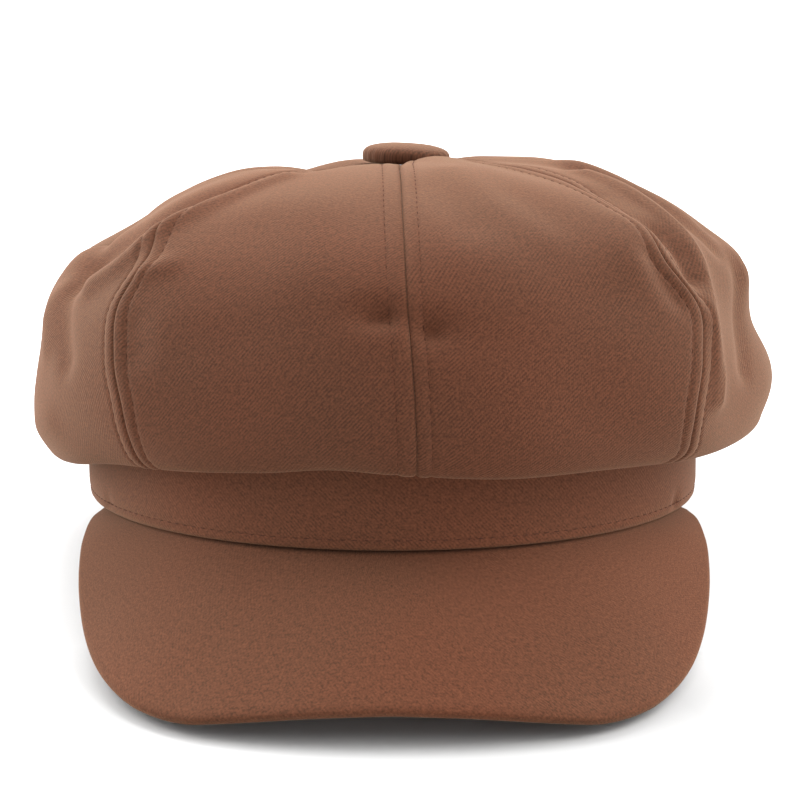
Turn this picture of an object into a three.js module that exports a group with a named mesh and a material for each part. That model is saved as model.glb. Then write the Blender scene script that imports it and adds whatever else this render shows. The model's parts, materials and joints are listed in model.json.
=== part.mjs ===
// Newsboy cap: an eight-panel baker-boy crown on a sewn head band, with a lining, a stiff
// covered visor and a covered button. Millimetres, +Z up, visor towards -Y, +X to the right
// of somebody who looks at the front. The cap rests on a flat surface at z = 0, on the two
// front corners of its visor and on the back of its rim, so it leans back.
//
// The pieces are shaped in the cap's own frame, where the rim lies in the plane z = 0 and
// is centred on the origin. The last lines lean the whole cap back and stand it on z = 0.

import * as THREE from 'three';

// ---------------------------------------------------------------- driving dimensions
const RIM_HALF_WIDTH = 91; // outside of the head band, across the head
const RIM_HALF_LENGTH = 100; // outside of the head band, front to back
const BAND_HEIGHT = 26;
const BAND_CLOTH = 1.6; // folded outer cloth of the band
const INTERFACING = 0.8; // stiffening strip inside the band
const SWEATBAND = 1.0;
const SWEATBAND_HEIGHT = 30;
const GAP = 0.3; // clearance between neighbouring layers

const CROWN_CLOTH = 1.6; // thickness of a crown panel
const LINING_CLOTH = 0.8;
const PANEL_COUNT = 8;
const SEAM_GAP = 0.3; // between two neighbouring panels
const SEAM_SINK = 3; // how far a crown seam sits below the middle of its panels
const CROWN_SHIFT = 4; // the soft crown has slipped this far to the right of the rim

const VISOR_SPREAD = 65; // degrees from the front to each tip of the visor
const VISOR_CLEARANCE = 2.2; // plan gap between the rim and the visor's inner edge
const VISOR_DROP = 0.8; // the visor's inner edge starts this far below the rim
const VISOR_CLOTH = 1.6;
const VISOR_BOARD = 2;
const VISOR_UNDER_CLOTH = 1;
const VISOR_LIP = 0.9; // the upper cover folds down over the edge from here outwards
const INSERT_REACH = 0.8; // share of the visor's spread that its board fills
const INSERT_START = 0.1; // where the board starts, as a share of the way to the edge
const INSERT_TAPER = 0.35; // how much further out it starts at the horns

const BUTTON_RADIUS = 13;
const BUTTON_HEIGHT = 4.2;
const BUTTON_LIFT = 1.3; // underside of the button above the crown cloth
const RIVET_RADIUS = 2;
const APEX_RADIUS = 4.5; // the panel tips end this far from the rivet's axis

const LEAN_BACK = 10.1; // degrees, once the cap rests on its visor and the back of its rim

// Height profiles from the band to the apex, as [distance from the axis, height].
const CROWN_FRONT = [
  [99.2, 28.4], [103.5, 25], [109, 22.2], [115, 33], [116, 51], [110.5, 69],
  [97, 84], [74, 95], [46, 99.5], [22, 99], [APEX_RADIUS, 98],
];
const CROWN_SIDE = [
  [90.2, 28.4], [96, 24], [102.5, 16], [110, 21.5], [112, 34], [108.5, 54],
  [99, 72], [80, 85.5], [54, 95], [26, 99], [APEX_RADIUS, 98],
];
const CROWN_BACK = [
  [99.2, 28.4], [105, 20], [115, 13.5], [122.5, 24], [124, 44], [117, 62],
  [101, 77], [77, 88], [48, 95], [22, 98], [APEX_RADIUS, 98],
];
const LINING_FRONT = [
  [97.9, 27.3], [98.5, 38], [99.5, 50], [97, 64], [88, 77], [70, 87], [46, 91.5],
  [24, 93.5], [APEX_RADIUS, 95.9],
];
const LINING_SIDE = [
  [88.9, 27.3], [89.5, 38], [90.5, 50], [88, 62], [80, 73], [65, 81.5], [44, 88],
  [24, 92.5], [APEX_RADIUS, 95.9],
];
const LINING_BACK = [
  [97.9, 27.3], [98.5, 38], [102, 50], [100, 61], [90, 71], [70, 80.5], [46, 87.5],
  [24, 92.5], [APEX_RADIUS, 95.9],
];

// Where each crown seam runs, in degrees from the front: at the band, half way, at the top.
const SEAM_AZIMUTHS = [
  [3.4, 0, -5.5], [47.5, 46.5, 48], [91, 91, 90], [136, 136, 135],
  [181, 181, 180], [226, 226, 225], [271, 270, 268], [319.5, 315, 311.5],
];

// Right half of the visor's outer edge, from the middle of the front to the tip.
const VISOR_EDGE = [
  [0, -138, -34], [22, -137, -35], [44, -133, -37.3], [56, -128.3, -38.4],
  [66.5, -120, -37.2], [74, -110, -34.8], [80, -98, -31], [84.5, -84, -25],
  [87.3, -68, -16.5], [88, -55, -8.8], [86.3, -44.5, -3.4],
];

const PANEL_NAMES = [
  'front_right_panel', 'right_front_panel', 'right_back_panel', 'back_right_panel',
  'back_left_panel', 'left_back_panel', 'left_front_panel', 'front_left_panel',
];

// ---------------------------------------------------------------- materials
const cloth = (color) => new THREE.MeshStandardMaterial({ color, roughness: 0.9, metalness: 0 });
const TWILL = cloth(0x7b4f3b);
const SATIN = new THREE.MeshStandardMaterial({ color: 0x4a352b, roughness: 0.45, metalness: 0 });
const COTTON_BAND = cloth(0x3f2c24);
const STIFFENER = cloth(0xd9d4c8);
const BOARD = new THREE.MeshStandardMaterial({ color: 0xe6e3da, roughness: 0.5, metalness: 0 });
const STEEL = new THREE.MeshStandardMaterial({ color: 0xb9bcc0, roughness: 0.35, metalness: 1 });

// ---------------------------------------------------------------- curves
const { degToRad: radians, lerp, smoothstep } = THREE.MathUtils;

function smoothCurve(points) {
  const vectors = points.map(([x, y, z = 0]) => new THREE.Vector3(x, y, z));
  return new THREE.CatmullRomCurve3(vectors, false, 'catmullrom', 0.5);
}

function meridians(front, side, back) {
  return { front: smoothCurve(front), side: smoothCurve(side), back: smoothCurve(back) };
}

const CROWN = meridians(CROWN_FRONT, CROWN_SIDE, CROWN_BACK);
const LINING = meridians(LINING_FRONT, LINING_SIDE, LINING_BACK);

// The profile at one azimuth mixes the front, side and back ones. x is distance, y height.
function profilePoint(shape, azimuth, s) {
  const forward = Math.cos(azimuth);
  const nearEnd = forward > 0 ? shape.front : shape.back;
  const point = shape.side.getPoint(s);
  return point.lerp(nearEnd.getPoint(s), forward * forward);
}

function profileNormal(shape, azimuth, s) {
  const step = 0.004;
  const before = profilePoint(shape, azimuth, Math.max(0, s - step));
  const after = profilePoint(shape, azimuth, Math.min(1, s + step));
  const along = after.sub(before);
  return new THREE.Vector3(along.y, -along.x, 0).normalize();
}

// A parabola through the three azimuths that a seam is given.
function seamAzimuth(seam, s) {
  const turn = seam >= PANEL_COUNT ? 360 : 0;
  const [low, middle, high] = SEAM_AZIMUTHS[seam % PANEL_COUNT];
  const bend = 2 * (low + high - 2 * middle);
  return radians(turn + low + s * (high - low - bend) + s * s * bend);
}

// ---------------------------------------------------------------- solids
const stops = (count, end = 1) => Array.from({ length: count + 1 }, (_, i) => (end * i) / count);

// A closed body between two facing grids of points, outer(u, v) and inner(u, v), taken at
// the given values of u and v. Seen from outside, u runs to the right where v runs up.
function slab(outer, inner, us, vs) {
  const columns = us.length - 1;
  const rows = vs.length - 1;
  const width = columns + 1;
  const layer = width * (rows + 1);
  const positions = [];
  for (const face of [outer, inner]) {
    for (const v of vs) {
      for (const u of us) positions.push(...face(u, v).toArray());
    }
  }
  const triangles = [];
  const quad = (a, b, c, d) => triangles.push(a, b, c, a, c, d);
  const at = (i, j) => j * width + i;
  for (let j = 0; j < rows; j += 1) {
    for (let i = 0; i < columns; i += 1) {
      const [a, b, c, d] = [at(i, j), at(i + 1, j), at(i + 1, j + 1), at(i, j + 1)];
      quad(a, b, c, d);
      quad(layer + a, layer + d, layer + c, layer + b);
    }
  }
  const rim = [];
  for (let i = 0; i < columns; i += 1) rim.push(at(i, 0));
  for (let j = 0; j < rows; j += 1) rim.push(at(columns, j));
  for (let i = columns; i > 0; i -= 1) rim.push(at(i, rows));
  for (let j = rows; j > 0; j -= 1) rim.push(at(0, j));
  rim.forEach((a, k) => {
    const b = rim[(k + 1) % rim.length];
    quad(a, layer + a, layer + b, b);
  });
  const geometry = new THREE.BufferGeometry();
  geometry.setAttribute('position', new THREE.Float32BufferAttribute(positions, 3));
  geometry.setIndex(triangles);
  geometry.computeVertexNormals();
  return geometry;
}

function mesh(name, geometry, material) {
  const piece = new THREE.Mesh(geometry, material);
  piece.name = name;
  return piece;
}

// ---------------------------------------------------------------- crown and lining
// One of the eight gores, from the band up to the rivet, puffed between its two seams.
function gorePoint(shape, panel, u, s, sink, inset) {
  const left = seamAzimuth(panel, s);
  const right = seamAzimuth(panel + 1, s);
  const middle = profilePoint(shape, (left + right) / 2, s);
  const halfGap = SEAM_GAP / 2 / middle.x;
  const azimuth = lerp(left + halfGap, right - halfGap, u);
  const across = 2 * u - 1;
  const fade = smoothstep(s, 0.25, 0.45) - smoothstep(s, 0.8, 1);
  const depth = inset + sink * fade * across ** 4;
  const normal = profileNormal(shape, azimuth, s);
  const point = profilePoint(shape, azimuth, s).addScaledVector(normal, -depth);
  const shift = CROWN_SHIFT * smoothstep(s, 0, 0.3);
  return new THREE.Vector3(
    shift + point.x * Math.sin(azimuth),
    -point.x * Math.cos(azimuth),
    point.y,
  );
}

function gore(shape, panel, thickness, sink, us, vs) {
  const outer = (u, v) => gorePoint(shape, panel, u, v, sink, 0);
  const inner = (u, v) => gorePoint(shape, panel, u, v, sink, thickness);
  return slab(outer, inner, us, vs);
}

function crown() {
  const group = new THREE.Group();
  const acrossPanel = stops(6);
  const acrossLining = stops(4);
  const upPanel = [...stops(6, 0.3), 0.4, 0.5, 0.6, 0.7, 0.8, 0.9, 1];
  PANEL_NAMES.forEach((name, panel) => {
    const outer = gore(CROWN, panel, CROWN_CLOTH, SEAM_SINK, acrossPanel, upPanel);
    group.add(mesh(name, outer, TWILL));
    const lining = gore(LINING, panel, LINING_CLOTH, 0, acrossLining, stops(8));
    group.add(mesh(name.replace('panel', 'lining'), lining, SATIN));
  });
  return group;
}

// ---------------------------------------------------------------- head band
function ovalRing(outerInset, thickness, bottom, top) {
  const oval = (inset) => {
    const a = RIM_HALF_WIDTH - inset;
    const b = RIM_HALF_LENGTH - inset;
    return new THREE.Path().absellipse(0, 0, a, b, 0, 2 * Math.PI, false, 0);
  };
  const outline = new THREE.Shape(oval(outerInset).getPoints(18));
  outline.holes.push(new THREE.Path(oval(outerInset + thickness).getPoints(18)));
  const ring = new THREE.ExtrudeGeometry(outline, { depth: top - bottom, bevelEnabled: false });
  return ring.translate(0, 0, bottom);
}

function headBand() {
  const group = new THREE.Group();
  const stiffenerInset = BAND_CLOTH + GAP;
  const sweatInset = stiffenerInset + INTERFACING + 3 * GAP;
  group.add(
    mesh('head_band', ovalRing(0, BAND_CLOTH, 0, BAND_HEIGHT), TWILL),
    mesh('band_interfacing', ovalRing(stiffenerInset, INTERFACING, 0.5, BAND_HEIGHT - 0.5), STIFFENER),
    mesh('sweatband', ovalRing(sweatInset, SWEATBAND, 0, SWEATBAND_HEIGHT), COTTON_BAND),
  );
  return group;
}

// ---------------------------------------------------------------- visor
const VISOR_OUTER = smoothCurve(VISOR_EDGE);

function visorInnerEdge(t) {
  const azimuth = radians(VISOR_SPREAD) * t;
  return new THREE.Vector3(
    (RIM_HALF_WIDTH + VISOR_CLEARANCE) * Math.sin(azimuth),
    -(RIM_HALF_LENGTH + VISOR_CLEARANCE) * Math.cos(azimuth),
    -VISOR_DROP,
  );
}

function visorOuterEdge(t) {
  const point = VISOR_OUTER.getPoint(Math.abs(t));
  point.x *= Math.sign(t);
  return point;
}

// The visor's upper face is ruled from its inner edge to its outer one. u runs from the
// right tip (0) to the left tip (1), v from the rim outwards.
function visorFace(u, v) {
  const t = 1 - 2 * u;
  return visorInnerEdge(t).lerp(visorOuterEdge(t), v);
}

function visorNormal(u, v) {
  const step = 0.004;
  const low = Math.max(0, u - step);
  const high = Math.min(1, u + step);
  const across = visorFace(high, Math.max(v, 0.2)).sub(visorFace(low, Math.max(v, 0.2)));
  const outwards = visorFace(u, 1).sub(visorFace(u, 0));
  return across.cross(outwards).normalize();
}

function visorLayer(u, v, depth) {
  return visorFace(u, v).addScaledVector(visorNormal(u, v), -depth);
}

function visorCover(lipBottom) {
  const depth = (v) => (v > VISOR_LIP ? lipBottom : VISOR_CLOTH);
  const outer = (u, v) => visorLayer(u, v, 0);
  const inner = (u, v) => visorLayer(u, v, depth(v));
  return slab(outer, inner, stops(24), [...stops(4, VISOR_LIP), VISOR_LIP + 0.03, 1]);
}

// The board and the under cover end short of the visor's edge, and leave its horns free.
function visorInsert(top, bottom) {
  const horn = (1 - INSERT_REACH) / 2;
  const place = (u, v) => {
    const acrossVisor = lerp(horn, 1 - horn, u);
    const nearRim = INSERT_START + INSERT_TAPER * (2 * acrossVisor - 1) ** 2;
    return [acrossVisor, lerp(nearRim, VISOR_LIP - 0.01, v)];
  };
  const outer = (u, v) => visorLayer(...place(u, v), top);
  const inner = (u, v) => visorLayer(...place(u, v), bottom);
  return slab(outer, inner, stops(20), stops(4));
}

function visor() {
  const group = new THREE.Group();
  const boardTop = VISOR_CLOTH + GAP;
  const boardBottom = boardTop + VISOR_BOARD;
  const underTop = boardBottom + GAP;
  const underBottom = underTop + VISOR_UNDER_CLOTH;
  group.add(
    mesh('visor_upper_cover', visorCover(underBottom), TWILL),
    mesh('visor_board', visorInsert(boardTop, boardBottom), BOARD),
    mesh('visor_under_cover', visorInsert(underTop, underBottom), TWILL),
  );
  return group;
}

// ---------------------------------------------------------------- button
// A body of revolution about the upright axis. Its profile runs down the outside first.
function turned(points) {
  const profile = points.map(([radius, height]) => new THREE.Vector2(radius, height)).reverse();
  return new THREE.LatheGeometry(profile, 16).rotateX(Math.PI / 2);
}

function dome(radius, bottom, height, thickness, lip) {
  const steps = 4;
  const points = [];
  for (let k = 0; k <= steps; k += 1) {
    const angle = (Math.PI / 2) * (k / steps);
    points.push([radius * Math.sin(angle), bottom + lip + (height - lip) * Math.cos(angle)]);
  }
  points.push([radius, bottom]);
  points.push([radius - thickness, bottom]);
  for (let k = steps; k >= 0; k -= 1) {
    const angle = (Math.PI / 2) * (k / steps);
    const inner = height - lip - thickness;
    points.push([(radius - thickness) * Math.sin(angle), bottom + lip + inner * Math.cos(angle)]);
  }
  return turned(points);
}

function button() {
  const group = new THREE.Group();
  const cover = 1;
  const shell = 0.5;
  const plateRadius = BUTTON_RADIUS - cover - shell - 2 * GAP;
  const apex = CROWN_FRONT.at(-1)[1];
  const base = apex + BUTTON_LIFT;
  const liningInside = LINING_FRONT.at(-1)[1] - LINING_CLOTH;
  const washerTop = liningInside - 1.2;
  const washer = 1;
  const rivetEnd = washerTop - washer - GAP;
  group.add(
    mesh('button_cover', dome(BUTTON_RADIUS, base, BUTTON_HEIGHT, cover, 1.7), TWILL),
    mesh('button_shell', dome(
      BUTTON_RADIUS - cover - GAP, base, BUTTON_HEIGHT - cover - GAP, shell, 1.5), STEEL),
    mesh('button_rivet', turned([
      [0, base + 1], [plateRadius, base + 1], [plateRadius, base + 0.3],
      [RIVET_RADIUS, base + 0.3], [RIVET_RADIUS, rivetEnd], [4, rivetEnd],
      [3.4, rivetEnd - 0.9], [0, rivetEnd - 0.9],
    ]), STEEL),
    mesh('button_washer', turned([
      [RIVET_RADIUS + GAP, washerTop], [7, washerTop], [7, washerTop - washer],
      [RIVET_RADIUS + GAP, washerTop - washer], [RIVET_RADIUS + GAP, washerTop],
    ]), STEEL),
  );
  group.position.x = CROWN_SHIFT;
  return group;
}

// ---------------------------------------------------------------- whole cap
const cap = new THREE.Group();
cap.add(crown(), headBand(), visor(), button());
cap.rotation.x = -radians(LEAN_BACK);

const standing = new THREE.Group();
standing.add(cap);
standing.updateMatrixWorld(true);
const extent = new THREE.Box3().setFromObject(standing, true);
const middle = extent.getCenter(new THREE.Vector3());
cap.position.set(-middle.x, -middle.y, -extent.min.z);

export default standing;
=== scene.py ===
"""Newsboy cap: the looks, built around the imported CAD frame.

Shapes are worked out in millimetres in the cap's own frame, where the rim of the head band
lies in the plane z = 0 round the origin, +X is to the right and the visor points to -Y.
world() takes them to the shared frame, in metres, where the cap leans back on its rim.
"""
import json
import math

import bmesh
import bpy
import numpy as np
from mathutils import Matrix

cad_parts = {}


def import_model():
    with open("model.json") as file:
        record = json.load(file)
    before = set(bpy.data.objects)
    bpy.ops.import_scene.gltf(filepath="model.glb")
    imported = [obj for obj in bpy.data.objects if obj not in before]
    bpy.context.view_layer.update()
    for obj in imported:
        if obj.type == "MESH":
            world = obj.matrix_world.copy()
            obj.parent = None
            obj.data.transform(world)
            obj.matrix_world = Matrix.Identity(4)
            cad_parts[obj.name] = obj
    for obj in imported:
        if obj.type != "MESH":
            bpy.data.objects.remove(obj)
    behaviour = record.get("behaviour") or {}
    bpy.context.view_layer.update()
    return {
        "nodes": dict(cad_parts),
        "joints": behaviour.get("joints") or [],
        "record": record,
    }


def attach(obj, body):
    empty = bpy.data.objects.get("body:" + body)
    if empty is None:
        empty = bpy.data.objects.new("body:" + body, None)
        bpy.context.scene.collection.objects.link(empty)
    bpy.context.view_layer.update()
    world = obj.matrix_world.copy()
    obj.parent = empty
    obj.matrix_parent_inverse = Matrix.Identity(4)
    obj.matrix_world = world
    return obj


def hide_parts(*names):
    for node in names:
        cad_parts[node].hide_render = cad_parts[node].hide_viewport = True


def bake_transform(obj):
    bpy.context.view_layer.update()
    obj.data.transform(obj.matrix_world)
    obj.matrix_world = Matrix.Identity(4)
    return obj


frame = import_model()

# ------------------------------------------------------------------ sizes, millimetres
RIM_HALF_WIDTH = 91.0
RIM_HALF_LENGTH = 100.0
BAND_HEIGHT = 26.0
BAND_LAYERS = 4.6            # from the outside of the band to the inside of the sweatband
CLOTH = 1.2                  # thickness of one layer of the brushed twill
CROWN_SHIFT = 4.0
APEX_RADIUS = 4.5
APEX_HEIGHT = 98.0
CROWN_LENGTH = 188.0         # along the cloth of one crown panel, from the band to the top
VISOR_SPREAD = 70.0          # degrees from the front to each tip of the visor
VISOR_TUCK = 2.6             # how far the visor runs in under the band
VISOR_WIDER_RIGHT = 1.013    # the visor reaches a little further to the right
VISOR_EDGE_HEIGHT = 3.6      # from the visor's upper face to its under face, at the edge
BUTTON_BASE = 98.9
BUTTON_TILT = 3.0            # degrees down to the right
BUTTON_PUCKERS = 26          # gathers round the button's edge
STITCH_PITCH = 3.25
STITCH_LENGTH = 2.2
STITCH_START = 0.3           # from the end of a row to its first stitch
THREAD = 0.30                # diameter of the sewing thread
TWILL_PITCH = 0.82
TWILL_ANGLE = 44.0           # degrees from the weft, on the crown
TWILL_WOBBLE = 2.5           # how far, in radians of the rib, the ribs wander
SWEATBAND_RIB = 1.3

# Height profiles of the crown and of its lining: [distance from the axis, height].
CROWN = {
    "front": [(99.2, 28.4), (103.5, 25), (109, 22.2), (115, 33), (116, 51), (110.5, 69),
              (97, 84), (74, 95), (46, 99.5), (22, 99), (APEX_RADIUS, APEX_HEIGHT)],
    "side": [(90.2, 28.4), (96, 24), (102.5, 16), (110, 21.5), (112, 34), (108.5, 54),
             (99, 72), (80, 85.5), (54, 95), (26, 99), (APEX_RADIUS, APEX_HEIGHT)],
    "back": [(99.2, 28.4), (105, 20), (115, 13.5), (122.5, 24), (124, 44), (117, 62),
             (101, 77), (77, 88), (48, 95), (22, 98), (APEX_RADIUS, APEX_HEIGHT)],
}
LINING = {
    "front": [(97.9, 27.3), (98.5, 38), (99.5, 50), (97, 64), (88, 77), (70, 87),
              (46, 90.5), (24, 92.0), (APEX_RADIUS, 94.4)],
    "side": [(88.9, 27.3), (89.5, 38), (90.5, 50), (88, 62), (80, 73), (65, 81.5),
             (44, 84.2), (24, 87.8), (APEX_RADIUS, 94.4)],
    "back": [(97.9, 27.3), (98.5, 38), (102, 50), (100, 61), (90, 71), (70, 80.5),
             (46, 85.2), (24, 89.4), (APEX_RADIUS, 94.4)],
}

# Each crown seam: its azimuth in degrees at even places from the band to the top. The two
# seams that pucker have more places.
SEAMS = [
    [3, 2.4, 1.5, 0.9, 0, -0.6, -1.6, -3.9, -5.5],
    [41, 41.8, 42.5, 43.6, 44.4, 42.4, 41.2, 42.5, 44.2, 40.8, 41.3, 41.1, 42, 43, 44, 45, 46],
    [90, 90.5, 92, 91.5, 90, 91.5, 91, 90, 90],
    [136, 137, 137, 136, 135, 136, 136, 135, 135],
    [181, 181.5, 180.5, 180, 181, 181.5, 180.5, 180, 180],
    [226, 225, 225.5, 226.5, 226, 225, 226, 226, 225],
    [271, 272, 271, 270, 269.5, 270, 269, 268.5, 268],
    [321, 320.8, 320.5, 320, 318.8, 319.4, 319.7, 318.2, 316.9, 318.7, 316.6, 315.9, 315, 314,
     313, 312.2, 311.5],
]
# How far each seam sinks below the puffed panels, in its low, middle and high stretch.
SINKS = [(0.5, 1.2, 1.2), (1.0, 1.5, 2.5), (3, 5, 5), (3, 4.5, 5),
         (3, 4, 4), (3, 4.5, 5), (3, 5.5, 6), (1.0, 1.5, 2.5)]
PANELS = ["front_right", "right_front", "right_back", "back_right",
          "back_left", "left_back", "left_front", "front_left"]
# The two rows of top stitching beside each seam: how far left and right of it they run.
ROWS = [(5.0, 4.0)] + [(4.0, 4.0)] * 7

# How far each seam stands out as a soft corner between two flatter panels, low to high.
CORNERS = [(0, 0, 0), (3, 6.5, -2), (0, 0, 0), (0, 1, 0),
           (0, 0, 0), (0, 1, 0), (0, 0, 0), (3, 6, -2)]

# Where the crown's lower fold is lifted: azimuth, place, half widths, and millimetres.
LIFTS = [(94, 0.20, 34, 0.11, 4.5), (-92, 0.18, 42, 0.09, -4.2)]

# Soft dents and swellings of the crown: azimuth in degrees, place up the profile (0 at the
# band, 1 at the top), half widths in the same units, and height in millimetres.
DENTS = [
    (-98, 0.67, 20, 0.07, -3.5), (-78, 0.67, 16, 0.045, -3.0), (-80, 0.52, 18, 0.05, 1.6),
    (-100, 0.885, 45, 0.045, -4.0), (-88, 0.235, 36, 0.06, 1.2),
    (88, 0.70, 24, 0.05, 1.0), (82, 0.80, 30, 0.07, 2.0), (84, 0.60, 16, 0.04, 1.2),
    (80, 0.50, 20, 0.055, -5.0), (84, 0.31, 34, 0.08, -4.0),
    (57, 0.46, 11, 0.09, -4.0), (-50, 0.19, 10, 0.08, -1.1), (-10, 0.19, 7, 0.07, -1.3),
    (14, 0.19, 11, 0.07, 1.4), (20, 0.92, 40, 0.05, 0.8), (-45, 0.91, 40, 0.06, -1.6),
    (-120, 0.90, 50, 0.05, -0.8),
    (-16, 0.655, 9, 0.05, 0.8), (30, 0.90, 25, 0.05, 1.0),
    (-3.8, 0.477, 3.2, 0.021, -3.9), (3.2, 0.458, 2.6, 0.023, -3.6),
    (14, 0.755, 10, 0.05, 0.7), (-28, 0.655, 8, 0.04, 0.8),
]

# Folds of the crown: a line of (azimuth, place up the profile), then its half width and
# its height in millimetres, above the plain profile or below it.
FOLDS = [
    ([(46.0, 0.618), (47.2, 0.583), (46.8, 0.552)], 4.2, -3.4),
    ([(38, 0.565), (38.9, 0.533), (40.2, 0.508)], 3.6, -1.5),
    ([(38, 0.61), (36, 0.58)], 7.0, 1.4), ([(44, 0.70), (43, 0.655)], 5.0, -1.2),
    ([(35, 0.545), (38, 0.50)], 4.5, 0.5),
    ([(56.5, 0.76), (53.8, 0.69), (53.0, 0.62), (51.8, 0.585), (49.6, 0.535), (47.4, 0.484),
      (46.6, 0.43), (46.6, 0.375)], 3.6, 2.3),
    ([(70, 0.64), (69, 0.588), (64, 0.507), (59, 0.426)], 4.5, -1.6),
    ([(63, 0.78), (61.5, 0.72), (62, 0.66), (63, 0.61)], 4.0, -1.4),
    ([(70, 0.80), (68, 0.74), (68, 0.68), (69.5, 0.62), (72, 0.57)], 5.0, 1.5),
    ([(-55, 0.545), (-47.5, 0.567), (-43.5, 0.612), (-39, 0.675), (-32.5, 0.742)], 3.8, 2.0),
    ([(-62, 0.562), (-67, 0.60), (-73, 0.645), (-82, 0.68)], 5.0, -2.8),
    ([(-62, 0.60), (-53, 0.63), (-48, 0.68), (-43, 0.74), (-38, 0.80)], 7.5, -4.6),
    ([(-71, 0.525), (-66, 0.46)], 4.5, 1.2),
    ([(-63.5, 0.533), (-59, 0.48), (-55.5, 0.435)], 4.5, -1.8),
    ([(-39, 0.47), (-38, 0.44)], 5.0, -1.3),
    ([(-40, 0.545), (-37, 0.555)], 3.2, 1.3),
    ([(12.4, 0.76), (16.5, 0.67), (22, 0.60)], 6.5, 0.9), ([(4.5, 0.70), (9.8, 0.62)], 7.0, -0.9),
    ([(28, 0.50), (14, 0.44), (6, 0.45)], 7.0, -0.6), ([(-12, 0.47), (-30, 0.44)], 8.0, -0.7),
    ([(112, 0.30), (116, 0.45), (124, 0.58)], 7.0, -1.9), ([(103, 0.34), (106, 0.50)], 6.5, 1.5),
    ([(128, 0.62), (122, 0.74), (116, 0.82)], 7.0, 1.4), ([(151, 0.26), (149, 0.42)], 6.5, -1.7),
    ([(144, 0.52), (156, 0.58), (168, 0.57)], 6.5, -1.8), ([(162, 0.32), (166, 0.46)], 7.0, 1.4),
    ([(187, 0.62), (194, 0.54), (207, 0.50)], 6.5, -1.8), ([(198, 0.66), (210, 0.60)], 7.0, 1.5),
    ([(204, 0.25), (206, 0.38)], 6.0, -1.6), ([(216, 0.30), (214, 0.44)], 6.5, 1.4),
    ([(236, 0.55), (243, 0.63), (246, 0.74)], 7.0, -1.8), ([(238, 0.28), (241, 0.42)], 6.5, -1.6),
    ([(252, 0.30), (252, 0.45), (256, 0.56)], 7.0, 1.6), ([(262, 0.42), (264, 0.32)], 5.5, -1.6),
    ([(280, 0.40), (284, 0.50), (290, 0.56)], 6.0, -1.2), ([(284, 0.30), (296, 0.33)], 7.0, 1.0),
]

# Right half of the visor's edge, from the middle of the front to the tip.
VISOR_EDGE = [
    (0, -137.6, -33.1), (22, -136.6, -34.1), (44, -132.6, -36.4), (56, -128, -37.5),
    (66.5, -120, -36.4), (74, -110, -34.1), (80, -98, -30.5), (84.5, -84, -25),
    (87.6, -68, -16.8), (88.6, -55, -9.4), (88.1, -47, -5.3), (86.9, -40, -2.6),
    (84.4, -35.0, -1.0),
]

# ------------------------------------------------------------------ the cap's frame
HINGE = np.array(frame["joints"][0]["pos_m"])
BACK_OF_RIM = np.array(frame["record"]["mounts"][0]["pos_m"])
AXIS_X = np.array([1.0, 0.0, 0.0])
AXIS_Y = (BACK_OF_RIM - HINGE) / np.linalg.norm(BACK_OF_RIM - HINGE)
AXIS_Z = np.cross(AXIS_X, AXIS_Y)
ORIGIN = HINGE + AXIS_Y * RIM_HALF_LENGTH / 1000
LEAN_BACK = math.atan2(-AXIS_Y[2], AXIS_Y[1])


def world(points):
    """Points of the cap's frame in millimetres, as points of the shared frame in metres."""
    points = np.asarray(points, float) / 1000
    return (ORIGIN + points[..., :1] * AXIS_X + points[..., 1:2] * AXIS_Y
            + points[..., 2:] * AXIS_Z)


# ------------------------------------------------------------------ curves and surfaces
def smoothstep(x, low, high):
    t = np.clip((np.asarray(x, float) - low) / (high - low), 0, 1)
    return t * t * (3 - 2 * t)


def bell(x, width):
    return np.exp(-(np.asarray(x, float) / width) ** 2)


def spline(points, t):
    """A Catmull-Rom curve through the points, at t from 0 to 1."""
    points = np.asarray(points, float)
    spans = len(points) - 1
    t = np.clip(np.asarray(t, float), 0, 1) * spans
    i = np.minimum(t.astype(int), spans - 1)
    f = (t - i)[..., None]
    ends = np.vstack([2 * points[0] - points[1], points, 2 * points[-1] - points[-2]])
    a, b, c, d = ends[i], ends[i + 1], ends[i + 2], ends[i + 3]
    return 0.5 * (2 * b + (c - a) * f + (2 * a - 5 * b + 4 * c - d) * f ** 2
                  + (3 * b - a - 3 * c + d) * f ** 3)


def steps(values, s):
    """The smooth curve through evenly spaced values."""
    return spline(np.asarray(values, float)[:, None], s)[..., 0]


def profile(shape, azimuth, s):
    """Distance from the axis and height on the meridian at one azimuth."""
    forward = np.cos(azimuth)[..., None]
    front, side, back = (spline(shape[k], s) for k in ("front", "side", "back"))
    return side + (np.where(forward > 0, front, back) - side) * forward ** 2


def profile_normal(shape, azimuth, s):
    step = 0.004
    along = (profile(shape, azimuth, np.minimum(s + step, 1))
             - profile(shape, azimuth, np.maximum(s - step, 0)))
    normal = np.stack([along[..., 1], -along[..., 0]], -1)
    return normal / np.linalg.norm(normal, axis=-1, keepdims=True)


def round_axis(flat, azimuth, s):
    """Distance and height, turned out to the azimuth, with the soft crown's slip."""
    slip = CROWN_SHIFT * smoothstep(s, 0, 0.3)
    return np.stack([slip + flat[..., 0] * np.sin(azimuth),
                     -flat[..., 0] * np.cos(azimuth), flat[..., 1]], -1)


def seam_azimuth(seam, s):
    turn = 360 * (seam >= len(SEAMS))
    return np.radians(turn + steps(SEAMS[seam % len(SEAMS)], s))


def seam_sink(seam, s):
    return steps(SINKS[seam % len(SINKS)], s)


def wrapped_degrees(azimuth, centre):
    return (np.degrees(azimuth) - centre + 180) % 360 - 180


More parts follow.
